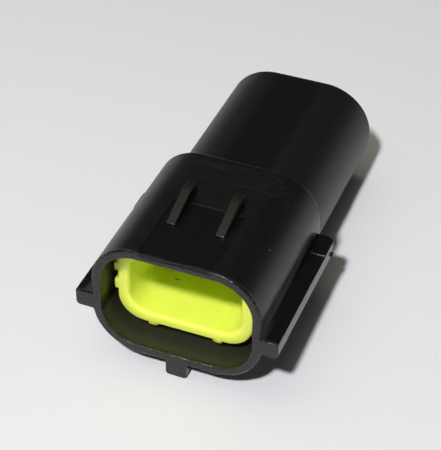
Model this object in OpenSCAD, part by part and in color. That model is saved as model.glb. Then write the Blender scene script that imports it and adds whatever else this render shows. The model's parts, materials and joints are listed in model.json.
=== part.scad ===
// Sealed wire-to-wire connector, tab side. A one-piece moulded housing has an oval
// shroud in front and a lower, narrower barrel behind. A cup-shaped lock plate slides
// in the shroud. Three tab terminals, each crimped to a ribbed wire seal, are loaded
// from the rear and held by the housing's own lances, which the plate's fingers block.
// Frame: origin at the middle of the mouth, +Y towards the wires, +Z up, millimetres.

/* [Shroud] */
// Width of the shroud
shroud_w = 19; // [18.4:0.1:21]
// Height of the shroud
shroud_h = 14; // [13.4:0.1:16]
// Corner radius of the shroud's outline
shroud_r = 5.25; // [4.8:0.05:5.8]
// Length of the shroud, from the mouth to the step
shroud_l = 18.3; // [17.6:0.1:20]
// Wall of the shroud
lip_wall = 1; // [0.8:0.05:1.15]
// Depth of the shroud's cavity, from the mouth to the bulkhead
bulkhead_y = 16.4; // [15.6:0.1:17.4]

/* [Rear barrel] */
// Length of the whole housing
overall_l = 39; // [38:0.1:44]
// Width of the rear barrel
barrel_w = 17.8; // [17.2:0.1:18.2]
// Height of the rear barrel, flush with the shroud below
barrel_h = 12.3; // [11.6:0.1:13]
// Corner radius of the barrel's outline
barrel_r = 5.8; // [5.2:0.05:5.8]
// Outer wall left round the cored pockets at the rear
barrel_wall = 1.2; // [0.9:0.05:1.4]
// Radius of the fillet behind the step
step_fillet = 1; // [0.4:0.1:1.4]

/* [Rails and nub] */
// Width over the two side rails
rail_span = 22.8; // [21.8:0.1:24]
// Height of a rail
rail_t = 2; // [1.6:0.1:2.4]
// Level of the rails' top faces, from the mouth's middle
rail_top_z = -0.3; // [-0.8:0.1:0.2]
// Length of the raised pad at a rail's rear end
rail_pad_l = 3.4; // [2:0.1:5]
// Rise of the pad above the rail
rail_pad_rise = 0.15; // [0.1:0.05:0.3]
// Corner radius of the pad, where its front meets the shroud
rail_pad_r = 0.4; // [0.2:0.1:0.8]
// Width of the nub under the mouth
nub_w = 2.4; // [2:0.1:3.2]
// Drop of the nub below the shroud
nub_drop = 1.9; // [1.4:0.1:2.4]
// Thickness of the nub along the housing
nub_t = 1.2; // [0.8:0.1:2.5]
// Radius of the nub's lower corners
nub_r = 0.4; // [0.2:0.05:0.8]

/* [Catch ribs] */
// Width of one catch rib
catch_w = 1.05; // [0.8:0.05:1.4]
// Distance between the catch ribs' middles
catch_pitch = 5.5; // [4:0.1:6.4]
// Rise of the catch ribs above the shroud
catch_rise = 1.4; // [1:0.1:1.8]
// Start of the ramp, from the mouth
catch_y = 5.5; // [4.5:0.1:6.5]
// Length of the ramp
catch_ramp_l = 4.2; // [3.5:0.1:5]
// Length of the flat top behind the ramp
catch_flat_l = 1.75; // [1.2:0.05:2.4]
// Width of the shallow recess on top of the shroud
relief_w = 8; // [7:0.1:8.4]
// Depth of that recess
relief_d = 0.08; // [0.06:0.02:0.2]
// Height of the bevel on the lip in front of that recess
lip_bevel_h = 0.35; // [0.2:0.05:0.5]
// Reach of that bevel behind the mouth
lip_bevel_l = 0.15; // [0.1:0.05:0.4]

/* [Lock plate] */
// Setback of the plate's rim behind the mouth, when locked
rim_y = 2.5; // [2.2:0.1:3.5]
// Wall of the plate's cup
cup_wall = 1.3; // [1:0.05:1.5]
// Corner radius of the cup's outline
cup_r = 3; // [2.6:0.1:3.4]
// Corner radius inside the cup
cup_inner_r = 2.3; // [1.6:0.1:2.6]
// Thickness of the cup's back wall
plate_t = 1.2; // [0.9:0.1:1.6]
// Gap between the cup's sides and the shroud
side_gap = 0.85; // [0.7:0.05:1]
// Gap between the cup's top and the shroud
top_gap = 0.6; // [0.4:0.05:0.9]
// Gap between the cup's underside and the shroud
floor_gap = 1.38; // [1.1:0.02:1.6]
// Rise of the guide pads on the cup's sides
pad_rise = 0.35; // [0.2:0.05:0.45]
// Travel of the plate from its locked to its open stop
lock_travel = 1.8; // [1.4:0.1:2]

/* [Terminals and seals] */
// Distance between neighbouring terminals
pitch = 4.6; // [4.5:0.05:4.7]
// Width of a tab
tab_w = 1.8; // [1.5:0.1:2]
// Thickness of a tab
tab_t = 0.64; // [0.5:0.02:0.8]
// Free length of a tab in front of the plate
tab_free_l = 6.8; // [6:0.1:7.6]
// Width of a terminal's box
box_w = 2.3; // [2.1:0.05:2.4]
// Height of a terminal's box
box_h = 2.5; // [2.3:0.05:2.6]
// Length of a terminal's box
box_l = 5; // [4.6:0.1:5.4]
// Thickness of the terminals' sheet metal
sheet_t = 0.32; // [0.25:0.01:0.35]
// Length of the conductor grip
wire_grip_l = 2.6; // [2:0.1:3]
// Length of the seal grip
seal_grip_l = 2; // [1.4:0.1:2]
// Diameter of the housing's seal bores
seal_bore_d = 4.1; // [4.05:0.01:4.2]
// Diameter of the wire hole in a seal
wire_hole_d = 1.5; // [1.2:0.05:1.7]
// Diameter of a seal's neck
neck_d = 2.3; // [2.1:0.05:2.4]
// Length of a seal's neck
neck_l = 2.2; // [2.2:0.1:2.6]
// Length of a seal's ribbed body
seal_l = 5.4; // [4.6:0.1:6]
// Setback of the seals behind the housing's rear face
seal_recess = 1.4; // [0.8:0.1:1.8]

/* [Hidden] */
$fn = 48;

black_plastic = [0.07, 0.07, 0.08];
yellow_plastic = [0.86, 0.97, 0.2];
tinned_brass = [0.74, 0.73, 0.7];
seal_rubber = [0.33, 0.42, 0.5];

// Overlap of solids that are joined, and overrun of cuts
join = 0.3;
// Clearances: plate on its guides, plate against the bulkhead, terminal in its cavity,
// plate round a tab, lance in its slot, and seal in its bore and its grip
guide_gap = 0.12;
seat_gap = 0.05;
box_gap = 0.1;
tab_gap = 0.2;
lance_gap = 0.15;
seal_gap = 0.02;

// Levels
barrel_z = (barrel_h - shroud_h) / 2;
top_z = shroud_h / 2;
rail_z = [rail_top_z - rail_t, rail_top_z];

// Cup of the lock plate
cup_x = shroud_w / 2 - lip_wall - side_gap;
cup_z = [-shroud_h / 2 + lip_wall + floor_gap, shroud_h / 2 - lip_wall - top_gap];
plate_back_y = bulkhead_y - seat_gap;
cup_floor_y = plate_back_y - plate_t;
// Guide slot between the pads on each side of the cup, and the pads' own heights
slot_z = [0.35, 1.4];
pad_up = 1.2;
pad_down = 1.35;
// Start of the shroud's guide ribs and of its floor pad, behind the locked rim
guide_setback = 2.1;
floor_pad_setback = 3.5;
guide_y = rim_y + guide_setback;
floor_pad_y = rim_y + floor_pad_setback;
// Ribs under the cup, either side of the shroud's floor pad
keel_x = [3.1, 4.25];
keel_rise = 0.26;
// Stop on the cup, in a gap of the housing's guide ribs
stop_l = 0.5;
stop_y = 10.8;
stop_gap_y = [stop_y - lock_travel - guide_gap, stop_y + stop_l + guide_gap];

// Places of the terminals, behind the wall that carries the tabs
ways = 3;
way_x = [for (i = [0:ways - 1]) (i - (ways - 1) / 2) * pitch];
front_wall = 3.1;
cavity_tail = 1.4;
box_y = bulkhead_y + front_wall + box_gap;
box_end = box_y + box_l;
cavity_end = box_end + cavity_tail;
tab_y = cup_floor_y - tab_free_l;

// Lances, the windows that they hook into, and the plate's fingers that block them
lance_w = 1.3;
lance_t = 0.75;
lance_y = box_y + 0.9;
lance_root = box_end + 0.4;
lance_z = box_h / 2 + 0.2;
window_l = 2.7;
window_y = [lance_y - tab_gap, lance_y - tab_gap + window_l];
finger_t = 0.8;
finger_reach = 1;
finger_z = lance_z + lance_t + lance_gap;
finger_w = lance_w + 0.2;
finger_y = lance_y + finger_reach;
slot_w = finger_w + 2 * tab_gap;
slot_top = finger_z + finger_t + lance_gap;

// Places of the seals, from the rear face
seal_end = overall_l - seal_recess;
seal_y = seal_end - seal_l;
neck_y = seal_y - neck_l;
neck_bare_l = 0.4;
grip_gap = 0.6;
seal_grip_y = seal_y - neck_bare_l - seal_grip_l;
wire_grip_y = seal_grip_y - grip_gap - wire_grip_l;
channel_r = sqrt(box_w * box_w + box_h * box_h) / 2 + box_gap;
wire_grip_r = 1.2;

// Cored pockets behind, above and below the seal bores, and the walls at their floors
bore_wall = 0.8;
core_web = 0.9;
core_top_wall = 2;
core_low_wall = 3.6;
core_top_y = lance_root + core_top_wall;
core_low_y = bulkhead_y + core_low_wall;

// A straight bar along Y of the outline drawn in X and Z
module along_y(y) {
    translate([0, y[1], 0]) rotate([90, 0, 0]) linear_extrude(y[1] - y[0]) children();
}

// A straight bar along X of the outline drawn in Y and Z
module along_x(x) {
    translate([x[0], 0, 0]) rotate([90, 0, 90]) linear_extrude(x[1] - x[0]) children();
}

// A block between two values on each axis
module block(x, y, z) {
    translate([x[0], y[0], z[0]]) cube([x[1] - x[0], y[1] - y[0], z[1] - z[0]]);
}

// A round bar along Y
module rod(x, y, z, r) {
    translate([x, y[0], z]) rotate([-90, 0, 0]) cylinder(h = y[1] - y[0], r = r);
}

// A rectangle with round corners, centred
module rounded_rect(w, h, r) {
    square([w - 2 * r, h], center = true);
    square([w, h - 2 * r], center = true);
    for (x = [-1, 1], z = [-1, 1])
        translate([x * (w / 2 - r), z * (h / 2 - r)]) circle(r);
}

// A part and its mirror image on the other side
module both_sides() {
    children();
    mirror([1, 0, 0]) children();
}

module barrel_outline(inset) {
    translate([0, barrel_z])
        rounded_rect(barrel_w - 2 * inset, barrel_h - 2 * inset, barrel_r - inset);
}

module cup_outline(inset, r) {
    translate([0, (cup_z[0] + cup_z[1]) / 2])
        rounded_rect(2 * (cup_x - inset), cup_z[1] - cup_z[0] - 2 * inset, r);
}

// Corner of the fillet's section: a square less a quarter circle
module fillet_section() {
    difference() {
        square(step_fillet);
        translate([step_fillet, step_fillet]) circle(step_fillet);
    }
}

// The fillet where the barrel leaves the shroud's rear face
module step_blend() {
    flat_x = barrel_w / 2 - barrel_r;
    flat_z = barrel_h / 2 - barrel_r;
    intersection() {
        translate([0, shroud_l, barrel_z]) {
            for (side = [-1, 1], up = [-1, 1])
                translate([side * flat_x, 0, up * flat_z]) rotate([-90, 0, 0])
                    rotate_extrude() translate([barrel_r, 0]) fillet_section();
            for (up = [0, 1]) mirror([0, 0, up]) translate([0, 0, barrel_h / 2])
                along_x([-flat_x, flat_x]) fillet_section();
        }
        along_y([shroud_l - join, shroud_l + 2 * step_fillet])
            rounded_rect(shroud_w, shroud_h, shroud_r);
    }
}

// Plan of a rail's raised pad, round where its front meets the shroud's side
module rail_pad_plan(root_x, tip_x) {
    side_x = shroud_w / 2;
    pad_y = shroud_l - rail_pad_l;
    translate([root_x, pad_y + rail_pad_r]) square([tip_x - root_x, rail_pad_l - rail_pad_r]);
    translate([side_x + rail_pad_r, pad_y]) square([tip_x - side_x - rail_pad_r, rail_pad_l]);
    translate([side_x + rail_pad_r, pad_y + rail_pad_r]) circle(rail_pad_r);
}

// One side rail, with a round rear corner and a raised pad at its rear end
module rail() {
    end_r = 0.9;
    edge_r = 0.5;
    root_x = shroud_w / 2 - lip_wall / 2;
    tip_x = rail_span / 2;
    intersection() {
        union() {
            block([root_x, tip_x], [0, shroud_l], [rail_z[0] + edge_r, rail_z[1]]);
            block([root_x, tip_x - edge_r], [0, shroud_l], rail_z);
            rod(tip_x - edge_r, [0, shroud_l], rail_z[0] + edge_r, edge_r);
            translate([0, 0, rail_z[1] - join]) linear_extrude(join + rail_pad_rise)
                rail_pad_plan(root_x, tip_x);
        }
        translate([0, 0, rail_z[0]]) linear_extrude(rail_t + rail_pad_rise) {
            translate([root_x, 0]) square([tip_x - root_x - end_r, shroud_l]);
            translate([root_x, 0]) square([tip_x - root_x, shroud_l - end_r]);
            translate([tip_x - end_r, shroud_l - end_r]) circle(end_r);
        }
    }
}

// The two ramps on top that the mating latch rides over
module catch_ribs() {
    base = top_z - join;
    step = 0.15;
    peak_y = catch_y + catch_ramp_l;
    both_sides() along_x([(catch_pitch - catch_w) / 2, (catch_pitch + catch_w) / 2])
        polygon([[catch_y, base], [catch_y, top_z + step], [peak_y, top_z + catch_rise],
                 [peak_y + catch_flat_l, top_z + catch_rise], [peak_y + catch_flat_l, base]]);
}

// The nub under the mouth, with round lower corners
module nub() {
    low = -shroud_h / 2 - nub_drop;
    along_y([0, nub_t]) {
        translate([-nub_w / 2, low + nub_r]) square([nub_w, nub_drop - nub_r + lip_wall / 2]);
        translate([-nub_w / 2 + nub_r, low]) square([nub_w - 2 * nub_r, nub_drop]);
        for (side = [-1, 1]) translate([side * (nub_w / 2 - nub_r), low + nub_r]) circle(nub_r);
    }
}

// The shallow recess on top, and the bevel on the lip in front of it
module top_relief() {
    half = relief_w / 2;
    floor_z = top_z - relief_d;
    block([-half, half], [-join, catch_y + catch_ramp_l], [floor_z, top_z + join]);
    along_x([-half, half])
        polygon([[-join, floor_z - lip_bevel_h], [0, floor_z - lip_bevel_h],
                 [lip_bevel_l, floor_z], [lip_bevel_l, floor_z + join], [-join, floor_z + join]]);
}

// All that is hollow for one terminal: tab window, cavity, channel, seal bore, lance slot
module terminal_cavity(x) {
    box_x = box_w / 2 + box_gap;
    box_z = box_h / 2 + box_gap + tab_gap / 4;
    translate([x, 0, barrel_z]) {
        block([-tab_w / 2 - tab_gap, tab_w / 2 + tab_gap],
              [bulkhead_y - join, bulkhead_y + front_wall + join],
              [-tab_t / 2 - tab_gap, tab_t / 2 + tab_gap]);
        block([-box_x, box_x], [bulkhead_y + front_wall, cavity_end], [-box_z, box_z]);
        rod(0, [cavity_end - join, seal_y], 0, channel_r);
        rod(0, [seal_y - box_gap, overall_l + join], 0, seal_bore_d / 2);
        block([-slot_w / 2, slot_w / 2], [bulkhead_y - join, lance_root],
              [box_z - join, slot_top]);
        translate([0, overall_l - tab_gap, 0]) rotate([-90, 0, 0])
            cylinder(h = 2 * tab_gap, r1 = seal_bore_d / 2, r2 = seal_bore_d / 2 + 2 * tab_gap);
    }
}

// A spring finger of the housing, hooked into the terminal's window
module lance(x) {
    hook_z = box_h / 2 - 0.5;
    nose_l = 0.4;
    hook_l = 1.7;
    translate([x, 0, barrel_z]) along_x([-lance_w / 2, lance_w / 2])
        polygon([[lance_y, hook_z], [lance_y + nose_l, hook_z], [lance_y + hook_l, lance_z],
                 [lance_root + join, lance_z], [lance_root + join, lance_z + lance_t],
                 [lance_y, lance_z + lance_t]]);
}

// Pockets that keep the rear barrel's walls even, with webs between the bores
module core_pockets() {
    keep = seal_bore_d / 2 + bore_wall;
    for (up = [-1, 1])
        along_y([up > 0 ? core_top_y : core_low_y, overall_l + join])
            difference() {
                intersection() {
                    barrel_outline(barrel_wall);
                    translate([-barrel_w / 2, barrel_z + (up > 0 ? keep : -barrel_h)])
                        square([barrel_w, barrel_h - (up > 0 ? 0 : keep)]);
                }
                for (x = [-pitch / 2, pitch / 2])
                    translate([x, barrel_z]) square([core_web, barrel_h], center = true);
            }
}

// Ribs on the shroud's inner sides that run in the cup's slots, with a gap for its stop
module guide_rib() {
    z = [slot_z[0] + guide_gap, slot_z[1] - guide_gap];
    x = [cup_x + guide_gap, shroud_w / 2 - lip_wall / 2];
    block(x, [guide_y, stop_gap_y[0]], z);
    block(x, [stop_gap_y[1], bulkhead_y + join], z);
}

// The pad on the shroud's floor that carries the cup
module floor_pad() {
    half = keel_x[0] - tab_gap;
    block([-half, half], [floor_pad_y, bulkhead_y + join],
          [-shroud_h / 2 + lip_wall / 2, cup_z[0] - guide_gap]);
}

module housing() {
    color(black_plastic) {
        difference() {
            union() {
                along_y([0, shroud_l]) rounded_rect(shroud_w, shroud_h, shroud_r);
                along_y([bulkhead_y, overall_l]) barrel_outline(0);
                step_blend();
                both_sides() rail();
                nub();
            }
            along_y([-join, bulkhead_y])
                rounded_rect(shroud_w - 2 * lip_wall, shroud_h - 2 * lip_wall, shroud_r - lip_wall);
            top_relief();
            core_pockets();
            for (x = way_x) terminal_cavity(x);
        }
        catch_ribs();
        both_sides() guide_rib();
        floor_pad();
        for (x = way_x) lance(x);
    }
}

// The sliding cup: rim, guide pads, keel ribs, stops, tab windows and blocking fingers
module lock_plate() {
    pad_x = [cup_x - join, cup_x + pad_rise];
    cup_y = [rim_y, plate_back_y];
    mid = (slot_z[0] + slot_z[1]) / 2;
    color(yellow_plastic) difference() {
        union() {
            along_y(cup_y) cup_outline(0, cup_r);
            both_sides() {
                block(pad_x, cup_y, [slot_z[1], slot_z[1] + pad_up]);
                block(pad_x, cup_y, [slot_z[0] - pad_down, slot_z[0]]);
                block([cup_x - join, cup_x + guide_gap + pad_rise], [stop_y, stop_y + stop_l],
                      [slot_z[0] - join, slot_z[1] + join]);
                block(keel_x, cup_y, [cup_z[0] - keel_rise, cup_z[0] + join]);
            }
            for (x = way_x) translate([x, 0, barrel_z])
                block([-finger_w / 2, finger_w / 2], [cup_floor_y, finger_y],
                      [finger_z, finger_z + finger_t]);
        }
        along_y([rim_y - join, cup_floor_y]) cup_outline(cup_wall, cup_inner_r);
        for (x = way_x) translate([x, 0, barrel_z])
            block([-tab_w / 2 - tab_gap, tab_w / 2 + tab_gap],
                  [cup_floor_y - join, plate_back_y + join],
                  [-tab_t / 2 - tab_gap, tab_t / 2 + tab_gap]);
    }
}

// The tab, with a bevelled tip
module tab() {
    tip = 0.5;
    half = tab_w / 2;
    translate([0, 0, -tab_t / 2]) linear_extrude(tab_t)
        polygon([[-half + tip, tab_y], [half - tip, tab_y], [half, tab_y + 2 * tip],
                 [half, box_y + sheet_t], [-half, box_y + sheet_t], [-half, tab_y + 2 * tip]]);
}

// The folded box, open behind, with the lance's window in its top
module terminal_box() {
    half = box_w / 2;
    window = lance_w / 2 + tab_gap;
    difference() {
        block([-half, half], [box_y, box_end], [-box_h / 2, box_h / 2]);
        block([-half + sheet_t, half - sheet_t], [box_y + sheet_t, box_end + join],
              [-box_h / 2 + sheet_t, box_h / 2 - sheet_t]);
        block([-window, window], window_y, [0, box_h]);
    }
}

// A curled grip of inner radius r; gap is the width of its opening on top, if any
module grip(y, r, gap) {
    difference() {
        rod(0, y, 0, r + sheet_t);
        rod(0, [y[0] - join, y[1] + join], 0, r);
        if (gap > 0) block([-gap / 2, gap / 2], [y[0] - join, y[1] + join], [0, 2 * r]);
    }
}

// The grip for the bare conductor, open on top, with biting grooves pressed inside
module wire_grip() {
    inner_r = wire_grip_r - sheet_t;
    wing_gap = 1.1;
    grooves = 3;
    groove_l = 0.3;
    groove_d = 0.08;
    spacing = wire_grip_l / (grooves + 1);
    difference() {
        grip([wire_grip_y, wire_grip_y + wire_grip_l], inner_r, wing_gap);
        for (i = [1:grooves]) {
            mid_y = wire_grip_y + i * spacing;
            rod(0, [mid_y - groove_l / 2, mid_y + groove_l / 2], 0, inner_r + groove_d);
        }
    }
}

module tab_terminal(x) {
    strip_w = 1.4;
    bridge_w = 0.7;
    lap = 0.1;
    low = -box_h / 2;
    wire_grip_end = wire_grip_y + wire_grip_l;
    color(tinned_brass) translate([x, 0, barrel_z]) {
        tab();
        terminal_box();
        block([-strip_w / 2, strip_w / 2], [box_end - join, wire_grip_y + join],
              [low, low + sheet_t]);
        wire_grip();
        block([-bridge_w / 2, bridge_w / 2], [wire_grip_end - join, seal_grip_y + lap],
              [low, low + sheet_t]);
        grip([seal_grip_y, seal_grip_y + seal_grip_l], neck_d / 2 + seal_gap, 0);
    }
}

// The revolved seal: bored through, a plain neck in front and three ribs behind
module wire_seal(x) {
    crest = seal_bore_d / 2 - seal_gap;
    rib_rise = 0.33;
    valley = crest - rib_rise;
    ribs = 3;
    rib_l = 1;
    margin = 0.15;
    step = (seal_l - rib_l - 2 * margin) / (ribs - 1);
    rib_points = [for (i = [0:ribs - 1], q = [[0, 0], [1, 0.25], [1, 0.75], [0, 1]])
        [valley + (crest - valley) * q[0], seal_y + margin + i * step + rib_l * q[1]]];
    color(seal_rubber) translate([x, 0, barrel_z]) rotate([-90, 0, 0]) rotate_extrude()
        polygon(concat(
            [[wire_hole_d / 2, neck_y], [neck_d / 2, neck_y], [neck_d / 2, seal_y],
             [valley, seal_y]],
            rib_points,
            [[valley, seal_end], [wire_hole_d / 2, seal_end]]));
}

housing();
lock_plate();
tab_terminal(way_x[0]);  // tab_terminal_1
tab_terminal(way_x[1]);  // tab_terminal_2
tab_terminal(way_x[2]);  // tab_terminal_3
wire_seal(way_x[0]);  // wire_seal_1
wire_seal(way_x[1]);  // wire_seal_2
wire_seal(way_x[2]);  // wire_seal_3
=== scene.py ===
"""Dresses the sealed three-way connector: moulded edges, finishes, stage and camera."""
import json
import math

import bmesh
import bpy
from mathutils import Matrix, Vector


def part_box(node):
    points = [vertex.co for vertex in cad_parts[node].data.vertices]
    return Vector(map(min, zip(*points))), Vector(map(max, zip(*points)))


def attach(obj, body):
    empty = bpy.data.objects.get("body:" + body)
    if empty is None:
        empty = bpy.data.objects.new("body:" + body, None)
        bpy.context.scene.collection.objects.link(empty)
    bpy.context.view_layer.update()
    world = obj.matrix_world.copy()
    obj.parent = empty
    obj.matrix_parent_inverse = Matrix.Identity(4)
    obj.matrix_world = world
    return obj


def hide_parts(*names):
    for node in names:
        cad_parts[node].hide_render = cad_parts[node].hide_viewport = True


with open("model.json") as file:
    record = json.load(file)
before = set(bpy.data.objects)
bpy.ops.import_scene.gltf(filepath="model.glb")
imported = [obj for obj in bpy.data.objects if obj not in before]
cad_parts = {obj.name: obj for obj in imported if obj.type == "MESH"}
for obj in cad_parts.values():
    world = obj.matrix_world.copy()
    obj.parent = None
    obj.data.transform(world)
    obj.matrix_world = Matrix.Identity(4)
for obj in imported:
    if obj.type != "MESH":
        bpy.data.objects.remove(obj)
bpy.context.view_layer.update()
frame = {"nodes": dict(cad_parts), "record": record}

bl_info = {
    "name": "Sealed three-way connector",
    "version": (1, 1, 0),
    "blender": (4, 5, 0),
    "location": "View3D > Sidebar > Connector",
    "description": "Moulded edges, finishes and stage for the sealed connector",
    "category": "Add Mesh",
}

MM = 0.001
ORIGIN = (0.0, 0.0, 0.0)
EVEN = (1.0, 1.0, 1.0)

# Points closer than MERGE become one, and places closer than NEAR count as the same
MERGE = 0.002 * MM
NEAR = 0.01 * MM
# Faces that turn less than FLAT become one, and those under SAME_PLANE are one flat face
FLAT = math.radians(0.05)
SAME_PLANE = math.radians(0.1)
# An outer edge that turns more than CORNER gets a radius, and one under CREASE is smooth
CORNER = math.radians(25)
CREASE = math.radians(10.5)

BODY = "connector_body"
SLIDER = "sliding_plate"
TERMINALS = sorted(n for n in frame["nodes"] if n.startswith("tab_terminal"))
SEALS = sorted(n for n in frame["nodes"] if n.startswith("wire_seal"))
HOUSING_LOW, HOUSING_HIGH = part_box("housing")
PLATE_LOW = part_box("lock_plate")[0]
MOUNTS = {m["name"]: Vector(m["pos_m"]) for m in frame["record"]["mounts"]}

# The rails run the whole length of the shroud, and a catch rib's mount lies at half its height
SHROUD_REAR = 2 * MOUNTS["rail_right"].y
SHROUD_TOP = 2 * MOUNTS["catch_right"].z - HOUSING_HIGH.z
RIB_X = MOUNTS["catch_right"].x
RIB_REAR = MOUNTS["catch_right"].y
BORE_Z = MOUNTS["wire_bore_2"].z
# Half the width of the recess on top, its length, and a depth that takes in all its edges
RECESS_HALF = 4.0 * MM
RECESS_LENGTH = 9.6 * MM
RECESS_DEPTH = 0.6 * MM
# The gate stub's distance in front of the right rail's rear end and under its middle height,
# the radii of its foot and its tip, and its height, half of which is inside the rail
GATE_FROM_REAR = 1.1 * MM
GATE_DROP = 0.4 * MM
GATE_FOOT = 0.42 * MM
GATE_TIP = 0.3 * MM
GATE_HEIGHT = 0.4 * MM
# Half sizes of the zones that go right across the housing
WIDE = 12 * MM
TALL = 9 * MM
VECTOR_INPUTS = ("Vector", "Centre", "Reach", "Stretch")


# ---------------------------------------------------------------- sizes and colours

def radius(name, value, description):
    """A length that is given in millimetres."""
    return bpy.props.FloatProperty(name=name, description=description, default=value * MM,
                                   min=0.0, unit="LENGTH", precision=5)


def tint(name, color, description):
    """An opaque colour."""
    return bpy.props.FloatVectorProperty(name=name, description=description, subtype="COLOR",
                                         size=4, min=0.0, max=1.0, default=(*color, 1.0))


class ConnectorEdges(bpy.types.PropertyGroup):
    """Radii that the mould leaves on the edges."""
    lip: radius("Lip", 0.28, "Radius on the outer edge of the shroud's lip")
    lip_inside: radius("Lip inside", 0.15, "Radius on the inner edge of the shroud's lip")
    barrel: radius("Barrel", 0.15, "Radius on the outer edge of the barrel's rear face")
    step: radius("Step", 0.24, "Radius on the shroud's rear edge")
    rail: radius("Rail", 0.08, "Radius on the rails")
    nub: radius("Nub", 0.1, "Radius on the nub under the mouth")
    rib: radius("Rib", 0.1, "Radius on the catch ribs")
    recess: radius("Recess", 0.03, "Radius on the shallow recess on top")
    recess_lip: radius("Recess lip", 0.1, "Radius on the lip where the recess meets it")
    rim: radius("Rim", 0.45, "Radius on the inner edge of the lock plate's rim")
    rim_outside: radius("Rim outside", 0.2, "Radius on the outer edge of the plate's rim")
    pad: radius("Pad", 0.1, "Radius on the lock plate's pads and ribs")
    sheet: radius("Sheet", 0.03, "Radius on the terminals' stamped edges")
    rubber: radius("Rubber", 0.1, "Radius on the seals' edges")


class ConnectorFinishes(bpy.types.PropertyGroup):
    """Colours of the materials."""
    black: tint("Black plastic", (0.0028, 0.0029, 0.0042), "Colour of the housing")
    # The inner walls' olive colour is painted light: it stands for yellow light bounced off the
    # lock plate onto the black walls.
    inner: tint("Inner walls", (0.02, 0.021, 0.014), "Colour of the housing's duller inner walls")
    # The catch ribs' colour is painted light: a warmer, slightly darker black that stands for the
    # warm ceiling lamp's reflection on their ramps.
    ribs: tint("Catch ribs", (0.003, 0.003, 0.002), "Colour of the catch ribs")
    dust: tint("Dust", (0.3, 0.3, 0.28), "Colour of the dust specks on the housing")
    yellow: tint("Yellow plastic", (0.85, 1.0, 0.115), "Colour of the lock plate")
    # A darker olive spot, with a shallow dent, where the ejector mark sits in the cup.
    darker_spot: tint("Darker spot", (0.3, 0.34, 0.02), "Colour of the ejector mark in the lock plate")
    tin: tint("Tinned brass", (0.66, 0.65, 0.62), "Colour of the terminals")
    tarnish: tint("Tarnish", (0.5, 0.46, 0.38), "Colour of the terminals where they are duller")
    rubber: tint("Seal rubber", (0.09, 0.16, 0.25), "Colour of the wire seals")
    bloom: tint("Bloom", (0.2, 0.27, 0.35), "Colour of the paler film on the wire seals")
    floor: tint("Floor", (0.805, 0.81, 0.85), "Colour of the surface it lies on")
    backdrop: tint("Backdrop", (0.72, 0.72, 0.72), "Colour far behind the connector")


class ConnectorStudio(bpy.types.PropertyGroup):
    """Strengths of the lights."""
    key: bpy.props.FloatProperty(
        name="Key", description="Power of the small light in front", default=2.1, min=0.0,
        unit="POWER")
    ceiling: bpy.props.FloatProperty(
        name="Ceiling", description="Power of the wide light overhead", default=0.9,
        min=0.0, unit="POWER")
    room: bpy.props.FloatProperty(
        name="Room", description="Brightness of the room overhead", default=0.045, min=0.0)
    walls: bpy.props.FloatProperty(
        name="Walls", description="Brightness of the room's walls near the floor",
        default=0.3, min=0.0)


# ---------------------------------------------------------------- meshes

def merged_copy(node):
    """A bmesh of a CAD node with its doubles merged and its flat faces cut up evenly."""
    bm = bmesh.new()
    bm.from_mesh(frame["nodes"][node].data)
    bmesh.ops.remove_doubles(bm, verts=bm.verts, dist=MERGE)
    bmesh.ops.dissolve_limit(bm, angle_limit=FLAT, verts=bm.verts, edges=bm.edges,
                             use_dissolve_boundaries=False)
    bm.normal_update()
    seams = [e for e in bm.edges if e.calc_face_angle(0.0) < SAME_PLANE]
    split = {f for e in seams for f in e.link_faces if len(f.verts) > 4}
    bmesh.ops.triangulate(bm, faces=[f for f in bm.faces if f in split],
                          quad_method="BEAUTY", ngon_method="BEAUTY")
    bm.normal_update()
    return bm


def halve_front(bm, y):
    """Makes the flat face at the front two halves that meet at the middle of the width."""
    def at_front(item):
        return all(abs(v.co.y - y) < NEAR for v in item.verts)

    faces = [f for f in bm.faces if at_front(f)]
    edges = {e for f in faces for e in f.edges}
    verts = {v for f in faces for v in f.verts}
    bmesh.ops.bisect_plane(bm, geom=[*faces, *edges, *verts], dist=0.1 * NEAR,
                           plane_co=ORIGIN, plane_no=(1, 0, 0))
    inner = [e for e in bm.edges if all(at_front(f) for f in e.link_faces)
             and any(abs(v.co.x) > NEAR for v in e.verts)]
    bmesh.ops.dissolve_edges(bm, edges=inner, use_verts=False)
    bm.normal_update()


def middle(edge):
    """The middle of an edge."""
    return (edge.verts[0].co + edge.verts[1].co) / 2


def lies_at(edge, y):
    """Whether an edge lies in the plane at y."""
    return all(abs(v.co.y - y) < NEAR for v in edge.verts)


def side_normal(edge):
    """The normal of the face at an edge that isn't square to the Y axis."""
    return min((f.normal for f in edge.link_faces), key=lambda n: abs(n.y))


def faces_away(edge, z=0.0):
    """Whether the wall at an edge looks away from the axis along Y at height z."""
    place = middle(edge)
    return side_normal(edge).dot(Vector((place.x, 0.0, place.z - z))) > 0


def weigh_edges(bm, radius_of):
    """Stores on each outer edge the share of the widest radius that it gets."""
    layer = bm.edges.layers.float.new("bevel_weight_edge")
    radii = {}
    for edge in bm.edges:
        turn = edge.calc_face_angle(0.0)
        if edge.is_convex and turn > CORNER:
            radii[edge] = radius_of(edge)
        edge.smooth = turn < CREASE or radii.get(edge, 0.0) > 0.0
    widest = max(radii.values())
    for edge, value in radii.items():
        edge[layer] = value / widest
    return widest


def add_object(name, data):
    """Adds an object to the scene."""
    item = bpy.data.objects.new(name, data)
    bpy.context.scene.collection.objects.link(item)
    return item


def mesh_of(name, bm, material):
    """Turns a bmesh into a mesh of one material."""
    mesh = bpy.data.meshes.new(name)
    bm.to_mesh(mesh)
    bm.free()
    mesh.materials.append(material)
    return mesh


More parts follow.
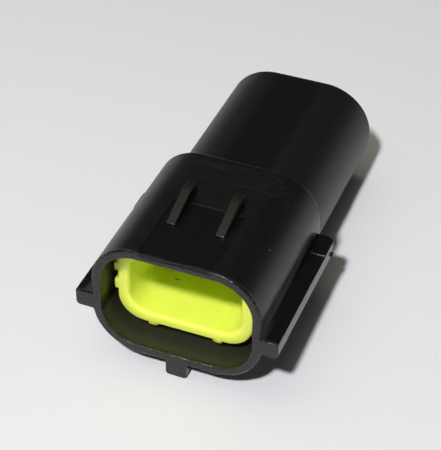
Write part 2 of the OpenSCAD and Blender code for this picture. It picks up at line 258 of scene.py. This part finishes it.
def finish_piece(name, bm, radius_of, body, replaced, material, segments=3):
    """Makes the object of a bmesh, rounds its outer edges and puts it on its body."""
    widest = weigh_edges(bm, radius_of)
    mesh = mesh_of(name, bm, material)
    mesh.shade_smooth()
    piece = add_object(name, mesh)
    bevel = piece.modifiers.new("Moulded edges", "BEVEL")
    bevel.limit_method = "WEIGHT"
    bevel.width = widest
    bevel.segments = segments
    bevel.profile = 0.5
    bevel.use_clamp_overlap = False
    bevel.miter_outer = "MITER_ARC"
    normals = piece.modifiers.new("Flat faces", "WEIGHTED_NORMAL")
    normals.weight = 80
    normals.keep_sharp = True
    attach(piece, body)
    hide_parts(*replaced)


# ---------------------------------------------------------------- shader helpers

def feed(tree, node, inputs):
    """Sets a node's inputs, by name or number, to sockets or plain values."""
    for key, value in inputs.items():
        if isinstance(value, bpy.types.NodeSocket):
            tree.links.new(value, node.inputs[key])
        else:
            node.inputs[key].default_value = value
    return node


def add(tree, kind, inputs=None, **settings):
    """Adds a shader node with the given inputs and settings."""
    node = tree.nodes.new("ShaderNode" + kind)
    for name, value in settings.items():
        setattr(node, name, value)
    return feed(tree, node, inputs or {})


def math_of(tree, operation, *values):
    """Works out a number from numbers."""
    return add(tree, "Math", dict(enumerate(values)), operation=operation).outputs[0]


def vector_of(tree, operation, *values, result="Vector"):
    """Works out a vector, or the number that the result names, from vectors."""
    node = add(tree, "VectorMath", dict(enumerate(values)), operation=operation)
    return node.outputs[result]


def ramp(tree, value, start, end, low=0.0, high=1.0, kind="LINEAR"):
    """Turns a value that runs from start to end into one that runs from low to high."""
    return add(tree, "MapRange", {"Value": value, "From Min": start, "From Max": end,
                                  "To Min": low, "To Max": high},
               interpolation_type=kind).outputs[0]


def mix(tree, share, low, high):
    """Blends two numbers or two colours."""
    number = isinstance(high, float) or (isinstance(high, bpy.types.NodeSocket)
                                         and high.type == "VALUE")
    first = 2 if number else 6
    node = add(tree, "Mix", {0: share, first: low, first + 1: high},
               data_type="FLOAT" if number else "RGBA")
    return node.outputs[0 if number else 2]


def overlay(tree, base, *layers):
    """Lays numbers or colours over a base, each as far as its mask goes."""
    for mask, value in layers:
        base = mix(tree, mask, base, value)
    return base


def new_group(name, inputs, output):
    """A node group with named inputs and one output; also its sockets."""
    group = bpy.data.node_groups.new(name, "ShaderNodeTree")
    for label, value in inputs.items():
        kind = "Vector" if label in VECTOR_INPUTS else "Float"
        socket = group.interface.new_socket(label, in_out="INPUT",
                                            socket_type="NodeSocket" + kind)
        if value is not None:
            socket.default_value = value
    group.interface.new_socket(output, in_out="OUTPUT", socket_type="NodeSocketFloat")
    source = group.nodes.new("NodeGroupInput")
    sink = group.nodes.new("NodeGroupOutput")
    return group, source.outputs, sink.inputs[0]


def build_grain():
    """Even noise of a given grain, from 0 to 1, stretched along an axis if asked."""
    group, given, result = new_group(
        "grain", {"Vector": None, "Stretch": EVEN, "Size": MM, "Detail": 2.0}, "Value")
    stretched = vector_of(group, "MULTIPLY", given["Vector"], given["Stretch"])
    scale = math_of(group, "DIVIDE", 1.0, given["Size"])
    noise = add(group, "TexNoise", {"Vector": stretched, "Scale": scale,
                                    "Detail": given["Detail"], "Roughness": 0.6})
    group.links.new(noise.outputs[0], result)


def build_zone():
    """A mask that is 1 inside a box and fades to 0 over a softness outside it."""
    group, given, result = new_group(
        "zone", {"Vector": None, "Centre": ORIGIN, "Reach": (MM, MM, MM),
                 "Softness": 0.1 * MM}, "Mask")
    offset = vector_of(group, "SUBTRACT", given["Vector"], given["Centre"])
    size = vector_of(group, "ABSOLUTE", offset)
    past = vector_of(group, "SUBTRACT", size, given["Reach"])
    outside = vector_of(group, "MAXIMUM", past, ORIGIN)
    distance = vector_of(group, "LENGTH", outside, result="Value")
    faded = ramp(group, distance, 0.0, given["Softness"], 1.0, 0.0, "SMOOTHSTEP")
    group.links.new(faded, result)


def build_specks():
    """A mask of a few small round specks."""
    group, given, result = new_group(
        "specks", {"Vector": None, "Spacing": MM, "Radius": 0.05 * MM, "Share": 0.3}, "Mask")
    scale = math_of(group, "DIVIDE", 1.0, given["Spacing"])
    cells = add(group, "TexVoronoi", {"Vector": given["Vector"], "Scale": scale,
                                      "Randomness": 1.0}, feature="F1")
    relative = math_of(group, "DIVIDE", given["Radius"], given["Spacing"])
    inside = math_of(group, "LESS_THAN", cells.outputs["Distance"], relative)
    chosen = add(group, "SeparateColor", {0: cells.outputs["Color"]}).outputs[0]
    kept = math_of(group, "LESS_THAN", chosen, given["Share"])
    group.links.new(math_of(group, "MULTIPLY", inside, kept), result)


def effect(tree, name, **inputs):
    """Places a shared effect in a material and gives its output."""
    node = tree.nodes.new("ShaderNodeGroup")
    node.node_tree = bpy.data.node_groups[name]
    return feed(tree, node, inputs).outputs[0]


def grain(tree, coords, size, detail=2.0, stretch=EVEN):
    """Noise with grains of a size, drawn out along the axes whose factor is under 1."""
    return effect(tree, "grain", Vector=coords, Stretch=stretch, Size=size, Detail=detail)


def zone(tree, coords, centre, reach, softness=0.1 * MM):
    """A mask of the box with this centre and these half sizes."""
    return effect(tree, "zone", Vector=coords, Centre=centre, Reach=reach, Softness=softness)


def uneven(tree, noise, low, high):
    """A value that follows the middle of a noise, from low to high."""
    return ramp(tree, noise, 0.3, 0.7, low, high)


def new_material(name, **values):
    """A material with its tree, its shader and the object coordinates."""
    material = bpy.data.materials.new(name)
    material.use_nodes = True
    tree = material.node_tree
    shader = tree.nodes["Principled BSDF"]
    feed(tree, shader, {key.replace("_", " "): value for key, value in values.items()})
    coords = tree.nodes.new("ShaderNodeTexCoord").outputs["Object"]
    return material, tree, shader, coords


def relief_normal(tree, *layers):
    """The normal of a surface bumped by masks, each with its height in millimetres."""
    height = 0.0
    for mask, rise in layers:
        height = math_of(tree, "MULTIPLY_ADD", mask, rise, height)
    bump = add(tree, "Bump", {"Height": height, "Distance": MM, "Strength": 1.0})
    return bump.outputs[0]


def rays(tree):
    """Masks of the rays from the camera, and of those that are mirrored or let through."""
    path = add(tree, "LightPath").outputs
    mirrored = math_of(tree, "MAXIMUM", path["Is Glossy Ray"], path["Is Transmission Ray"])
    return path["Is Camera Ray"], mirrored


# ---------------------------------------------------------------- materials

def black_plastic(finishes):
    """Black moulded plastic: fine grain, cloudy gloss, nicked lip and coarser catch ribs, with
    painted yellow bounce light on the inner walls and a painted warm reflection tint on the catch
    ribs.
    """
    material, tree, shader, coords = new_material("black_plastic", IOR=1.5)
    barrel_length = HOUSING_HIGH.y - SHROUD_REAR
    rib_height = HOUSING_HIGH.z - SHROUD_TOP

    # The ribs zone sets the ribs' roughness and their painted warm reflection tint.
    ribs = zone(tree, coords, (0.0, RIB_REAR / 2, HOUSING_HIGH.z),
                (1.5 * RIB_X, RIB_REAR, rib_height - 0.08 * MM), 0.03 * MM)
    recess = zone(tree, coords, (0.0, RECESS_LENGTH / 2, SHROUD_TOP),
                  (RECESS_HALF + 0.1 * MM, RECESS_LENGTH / 2 - 0.1 * MM, 0.3 * MM))
    rails = zone(tree, coords, (0.0, SHROUD_REAR / 2, MOUNTS["rail_right"].z),
                 (HOUSING_HIGH.x, SHROUD_REAR / 2, 1.2 * MM))
    step = zone(tree, coords, (0.0, SHROUD_REAR, SHROUD_TOP), (WIDE, 0.22 * MM, TALL))
    barrel = zone(tree, coords, (0.0, HOUSING_HIGH.y + 0.25 * MM, 0.0),
                  (9.3 * MM, barrel_length, TALL), 0.2 * MM)
    barrel_flat = zone(tree, coords, (0.0, HOUSING_HIGH.y, SHROUD_TOP),
                       (2.1 * MM, barrel_length, 2 * MM), 1.4 * MM)
    lip = zone(tree, coords, ORIGIN, (WIDE, 0.3 * MM, TALL))
    seam = zone(tree, coords, (0.0, (SHROUD_REAR + HOUSING_HIGH.y) / 2 + 0.6 * MM, BORE_Z),
                (WIDE, barrel_length / 2, 0.01 * MM), 0.05 * MM)
    flow = zone(tree, coords, (0.0, SHROUD_REAR - 2.5 * MM, SHROUD_TOP),
                (6 * MM, 1.0 * MM, MM), 1.5 * MM)

    # The normals of the inner walls point back towards the axis along Y
    facing = add(tree, "TexCoord").outputs["Normal"]
    across = vector_of(tree, "MULTIPLY", coords, (1.0, 0.0, 1.0))
    outward = vector_of(tree, "DOT_PRODUCT", facing, across, result="Value")
    # This mask gives the inner walls a duller gloss and their painted yellow bounce light.
    inside = ramp(tree, outward, -MM, -2 * MM)

    clouds = grain(tree, coords, 2.2 * MM, 3.0)
    fine = grain(tree, coords, 0.22 * MM)
    streaks = grain(tree, coords, 0.5 * MM, stretch=(0.12, 1.0, 1.0))
    nicks = grain(tree, coords, 0.36 * MM)
    specks = effect(tree, "specks", Vector=coords, Spacing=2.4 * MM, Radius=0.07 * MM, Share=0.25)

    gloss = overlay(tree, uneven(tree, clouds, 0.32, 0.38), (inside, 0.5), (rails, 0.24),
                    (recess, 0.25), (barrel, 0.44), (barrel_flat, 0.3), (lip, 0.22),
                    (step, 0.2), (ribs, 0.38), (specks, 0.8))
    drag = math_of(tree, "MULTIPLY", ramp(tree, streaks, 0.5, 0.75), flow)
    haze = math_of(tree, "MULTIPLY_ADD", drag, 0.03, math_of(tree, "MULTIPLY", clouds, 0.006))
    # On the inner walls the colour is painted light, an olive tint for the lock plate's yellow
    # bounce light.
    color = overlay(tree, finishes.black, (inside, finishes.inner), (ribs, finishes.ribs),
                    (haze, finishes.dust), (specks, finishes.dust))
    bumped = relief_normal(tree, (fine, 0.003), (clouds, 0.004),
                           (math_of(tree, "MULTIPLY", nicks, lip), 0.12),
                           (math_of(tree, "MULTIPLY", streaks, flow), 0.02), (seam, 0.02))
    feed(tree, shader, {"Base Color": color, "Roughness": gloss, "Normal": bumped})
    return material


def yellow_plastic(finishes):
    """Translucent yellow moulded plastic, with drag lines and an ejector mark in the cup."""
    material, tree, shader, coords = new_material(
        "yellow_plastic", IOR=1.5, Subsurface_Weight=0.6, Subsurface_Scale=1.5 * MM,
        Subsurface_Radius=(1.0, 1.1, 0.25))
    clouds = grain(tree, coords, 1.6 * MM, 3.0)
    fine = grain(tree, coords, 0.2 * MM)
    lines = grain(tree, coords, 0.45 * MM, stretch=(0.06, 1.0, 1.0))
    # The mark zone darkens the colour and dents the surface at the ejector mark.
    mark = zone(tree, coords, PLATE_LOW + Vector((4.7, 6.2, 1.5)) * MM,
                (0.22 * MM, 0.05 * MM, 0.4 * MM), 0.16 * MM)

    feed(tree, shader, {
        "Base Color": mix(tree, mark, finishes.yellow, finishes.darker_spot),
        "Roughness": uneven(tree, clouds, 0.34, 0.42),
        "Normal": relief_normal(tree, (fine, 0.003), (clouds, 0.01), (lines, 0.02),
                                (mark, -0.05))})
    return material


def tinned_brass(finishes):
    """Tinned sheet brass: duller patches and fine drawing lines along the strip."""
    material, tree, shader, coords = new_material("tinned_brass", Metallic=1.0)
    patches = grain(tree, coords, 0.9 * MM, 3.0)
    lines = grain(tree, coords, 0.06 * MM, stretch=(1.0, 0.05, 1.0))
    feed(tree, shader, {
        "Base Color": mix(tree, patches, finishes.tin, finishes.tarnish),
        "Roughness": uneven(tree, patches, 0.22, 0.38),
        "Normal": relief_normal(tree, (lines, 0.002))})
    return material


def seal_rubber(finishes):
    """Soft silicone: a paler film in patches and a fine dry grain."""
    material, tree, shader, coords = new_material("seal_rubber", IOR=1.42)
    film = grain(tree, coords, 0.7 * MM, 4.0)
    fine = grain(tree, coords, 0.1 * MM)
    feed(tree, shader, {
        "Base Color": mix(tree, film, finishes.rubber, finishes.bloom),
        "Roughness": uneven(tree, film, 0.45, 0.62),
        "Normal": relief_normal(tree, (fine, 0.004))})
    return material


def floor_finish(finishes):
    """A plain pale surface that turns into the backdrop far from the connector."""
    material, tree, shader, coords = new_material("floor", Roughness=0.6)
    fibres = math_of(tree, "MULTIPLY", grain(tree, coords, 6 * MM, 4.0), 0.12)
    feed(tree, shader, {"Base Color": mix(tree, fibres, finishes.floor, finishes.backdrop)})
    distance = vector_of(tree, "LENGTH", coords, result="Value")
    far = ramp(tree, distance, 80 * MM, 300 * MM, kind="SMOOTHSTEP")
    camera, mirrored = rays(tree)
    seen = math_of(tree, "MAXIMUM", camera, mirrored)
    glow = add(tree, "Emission", {"Color": finishes.backdrop, "Strength": 1.0})
    blend = add(tree, "MixShader", {0: math_of(tree, "MULTIPLY", far, seen),
                                    1: shader.outputs[0], 2: glow.outputs[0]})
    feed(tree, tree.nodes["Material Output"], {"Surface": blend.outputs[0]})
    return material


# ---------------------------------------------------------------- operators

class CONNECTOR_OT_housing(bpy.types.Operator):
    """Adds the housing with its moulded edges and its gate mark"""
    bl_idname = "connector.housing"
    bl_label = "Housing"

    def execute(self, context):
        edges = context.scene.connector_edges
        bm = merged_copy("housing")
        halve_front(bm, HOUSING_LOW.y)
        above_rails = BORE_Z + 2 * MM
        shroud_x = max(v.co.x for v in bm.verts if v.co.z > above_rails)
        shoulder_z = max(v.co.z for v in bm.verts if abs(abs(v.co.x) - shroud_x) < NEAR)
        rear = [v.co for v in bm.verts if abs(v.co.y - HOUSING_HIGH.y) < NEAR]

        def radius_of(edge):
            place = middle(edge)
            on_shroud = abs(place.x) < shroud_x + NEAR and place.z > -SHROUD_TOP - NEAR
            in_recess = (abs(place.x) < RECESS_HALF + NEAR and place.y < RIB_REAR
                         and SHROUD_TOP - RECESS_DEPTH < place.z < SHROUD_TOP + NEAR)
            if in_recess:
                at_lip = lies_at(edge, HOUSING_LOW.y) and abs(place.x) < RECESS_HALF - NEAR
                at_side = abs(abs(place.x) - RECESS_HALF) < NEAR
                return edges.recess_lip if at_lip else 0.0 if at_side else edges.recess
            if lies_at(edge, HOUSING_LOW.y):
                if not faces_away(edge):
                    return edges.lip_inside
                return edges.lip if on_shroud else edges.rail
            if lies_at(edge, HOUSING_HIGH.y):
                normal = side_normal(edge)
                outermost = all((point - place).dot(normal) < NEAR for point in rear)
                return edges.barrel if outermost else 0.0
            if lies_at(edge, SHROUD_REAR):
                height = max(0.0, (place.z - shoulder_z) / (SHROUD_TOP - shoulder_z))
                return edges.rail + (edges.step - edges.rail) * height
            if place.z > SHROUD_TOP + NEAR:
                return edges.rib
            if not on_shroud:
                return edges.nub if place.z < -SHROUD_TOP else edges.rail
            return 0.0

        gate = Matrix.Translation((HOUSING_HIGH.x, SHROUD_REAR - GATE_FROM_REAR,
                                   MOUNTS["rail_right"].z - GATE_DROP))
        stub = bmesh.ops.create_cone(
            bm, cap_ends=True, segments=20, radius1=GATE_FOOT, radius2=GATE_TIP,
            depth=GATE_HEIGHT, matrix=gate @ Matrix.Rotation(math.radians(90), 4, "Y"))
        bmesh.ops.scale(bm, verts=stub["verts"], vec=(1.0, 1.0, 0.8), space=gate.inverted())
        finish_piece("housing_moulding", bm, radius_of, BODY, ["housing"],
                     black_plastic(context.scene.connector_finishes))
        return {"FINISHED"}


class CONNECTOR_OT_lock_plate(bpy.types.Operator):
    """Adds the lock plate with its rounded rim"""
    bl_idname = "connector.lock_plate"
    bl_label = "Lock plate"

    def execute(self, context):
        edges = context.scene.connector_edges
        bm = merged_copy("lock_plate")
        rim = [v.co for v in bm.verts if abs(v.co.y - PLATE_LOW.y) < NEAR]
        cup_z = (max(p.z for p in rim) + min(p.z for p in rim)) / 2

        def radius_of(edge):
            if not lies_at(edge, PLATE_LOW.y):
                return edges.pad
            return edges.rim_outside if faces_away(edge, cup_z) else edges.rim

        finish_piece("lock_plate_moulding", bm, radius_of, SLIDER, ["lock_plate"],
                     yellow_plastic(context.scene.connector_finishes), 4)
        return {"FINISHED"}


class CONNECTOR_OT_terminals(bpy.types.Operator):
    """Adds the tab terminals"""
    bl_idname = "connector.terminals"
    bl_label = "Terminals"

    def execute(self, context):
        sheet = context.scene.connector_edges.sheet
        material = tinned_brass(context.scene.connector_finishes)

        def radius_of(edge):
            nearby = {e for v in edge.verts for e in v.link_edges}
            return sheet if min(e.calc_length() for e in nearby) > 2 * sheet else 0.0

        for node in TERMINALS:
            finish_piece(node + "_stamping", merged_copy(node), radius_of, BODY, [node],
                         material, 2)
        return {"FINISHED"}


class CONNECTOR_OT_seals(bpy.types.Operator):
    """Adds the wire seals"""
    bl_idname = "connector.seals"
    bl_label = "Seals"

    def execute(self, context):
        rubber = context.scene.connector_edges.rubber
        material = seal_rubber(context.scene.connector_finishes)
        for node in SEALS:
            finish_piece(node + "_moulding", merged_copy(node), lambda edge: rubber, BODY, [node],
                         material, 3)
        return {"FINISHED"}


def aim(location, target):
    """The rotation that makes a lamp or a camera at a location look at a target."""
    return (Vector(target) - Vector(location)).to_track_quat("-Z", "Y")


def soft_light(name, direction, distance, size, power, color):
    """A round lamp at a distance from the object, in the given direction."""
    data = bpy.data.lights.new(name, "AREA")
    data.shape = "DISK"
    data.size = size
    data.energy = power
    data.color = color
    lamp = add_object(name, data)
    target = Vector((0.0, 15.0, 0.0)) * MM
    lamp.location = target + Vector(direction).normalized() * distance
    lamp.rotation_euler = aim(lamp.location, target).to_euler()


def add_floor(finishes):
    """A floor just under the nub's rear edge and the barrel's rear edge."""
    nub_rear = Vector((0.0, 1.2 * MM, HOUSING_LOW.z))
    barrel_rear = Vector((0.0, HOUSING_HIGH.y, -SHROUD_TOP))
    slope = math.atan2(barrel_rear.z - nub_rear.z, barrel_rear.y - nub_rear.y)
    gap = Vector((0.0, 0.0, 0.02 * MM))
    bm = bmesh.new()
    bmesh.ops.create_grid(bm, x_segments=1, y_segments=1, size=600 * MM)
    bmesh.ops.rotate(bm, verts=bm.verts, cent=ORIGIN, matrix=Matrix.Rotation(slope, 3, "X"))
    bmesh.ops.translate(bm, verts=bm.verts, vec=nub_rear - gap)
    floor = add_object("floor", mesh_of("floor", bm, floor_finish(finishes)))


def add_room(finishes, brightness, wall_brightness):
    """A dim room with paler walls low down, which a ray that sees or mirrors it finds pale."""
    world = bpy.data.worlds.new("room")
    world.use_nodes = True
    tree = world.node_tree
    direction = add(tree, "TexCoord").outputs["Generated"]
    height = add(tree, "SeparateXYZ", {0: direction}).outputs["Z"]
    walls = ramp(tree, height, 0.0, 0.3, wall_brightness, brightness, "SMOOTHSTEP")
    dim = feed(tree, tree.nodes["Background"], {"Color": (1.0, 0.97, 0.94, 1.0),
                                                "Strength": walls})
    pale = add(tree, "Background", {"Color": finishes.backdrop, "Strength": 1.0})
    camera, mirrored = rays(tree)
    low = ramp(tree, height, 0.0, 0.12, 1.0, 0.0, "SMOOTHSTEP")
    seen = math_of(tree, "MAXIMUM", camera, math_of(tree, "MULTIPLY", mirrored, low))
    blend = add(tree, "MixShader", {0: seen, 1: dim.outputs[0], 2: pale.outputs[0]})
    feed(tree, tree.nodes["World Output"], {"Surface": blend.outputs[0]})
    bpy.context.scene.world = world


def add_camera():
    """A long lens that looks into the mouth from above and from the right."""
    azimuth = math.radians(21.451)
    elevation = math.radians(39.188)
    roll = math.radians(0.478)
    distance = 161.36 * MM
    target = Vector((0.284, 12.0, 2.985)) * MM
    back = Vector((math.sin(azimuth) * math.cos(elevation),
                   -math.cos(azimuth) * math.cos(elevation), math.sin(elevation)))
    data = bpy.data.cameras.new("camera")
    data.lens = 119.82
    data.sensor_width = 36.0
    data.clip_start = 0.005
    camera = add_object("camera", data)
    camera.location = target + back * distance
    turn = aim(camera.location, target) @ Matrix.Rotation(roll, 4, "Z").to_quaternion()
    camera.rotation_euler = turn.to_euler()
    bpy.context.scene.camera = camera


class CONNECTOR_OT_stage(bpy.types.Operator):
    """Adds the floor, the lights, the room and the camera"""
    bl_idname = "connector.stage"
    bl_label = "Stage"

    def execute(self, context):
        scene = context.scene
        studio = scene.connector_studio
        build_grain()
        build_zone()
        build_specks()
        add_floor(scene.connector_finishes)
        soft_light("key", (0.0, -0.78, 1.0), 470 * MM, 38 * MM, studio.key,
                   (1.0, 1.0, 1.0))
        soft_light("ceiling", (-0.284, -0.05, 0.95), 600 * MM, 700 * MM, studio.ceiling,
                   (1.0, 0.97, 0.75))
        add_room(scene.connector_finishes, studio.room, studio.walls)
        add_camera()
        scene.view_settings.view_transform = "Standard"
        return {"FINISHED"}


class CONNECTOR_PT_panel(bpy.types.Panel):
    """Lists the sizes, the colours, the lights and the operators"""
    bl_label = "Sealed connector"
    bl_space_type = "VIEW_3D"
    bl_region_type = "UI"
    bl_category = "Connector"

    def draw(self, context):
        layout = self.layout
        for group in (context.scene.connector_edges, context.scene.connector_finishes,
                      context.scene.connector_studio):
            for name in group.__annotations__:
                layout.prop(group, name)
        for operator in OPERATORS:
            layout.operator(operator.bl_idname)


GROUPS = {"connector_edges": ConnectorEdges, "connector_finishes": ConnectorFinishes,
          "connector_studio": ConnectorStudio}
OPERATORS = (CONNECTOR_OT_stage, CONNECTOR_OT_housing, CONNECTOR_OT_lock_plate,
             CONNECTOR_OT_terminals, CONNECTOR_OT_seals)


def register():
    for group in GROUPS.values():
        bpy.utils.register_class(group)
    for operator in OPERATORS:
        bpy.utils.register_class(operator)
    bpy.utils.register_class(CONNECTOR_PT_panel)
    for name, group in GROUPS.items():
        setattr(bpy.types.Scene, name, bpy.props.PointerProperty(type=group))


def unregister():
    for name in GROUPS:
        delattr(bpy.types.Scene, name)
    bpy.utils.unregister_class(CONNECTOR_PT_panel)
    for operator in reversed(OPERATORS):
        bpy.utils.unregister_class(operator)
    for group in reversed(GROUPS.values()):
        bpy.utils.unregister_class(group)


def main():
    register()
    bpy.ops.connector.stage()
    bpy.ops.connector.housing()
    bpy.ops.connector.lock_plate()
    bpy.ops.connector.terminals()
    bpy.ops.connector.seals()


if __name__ == "__main__":
    main()
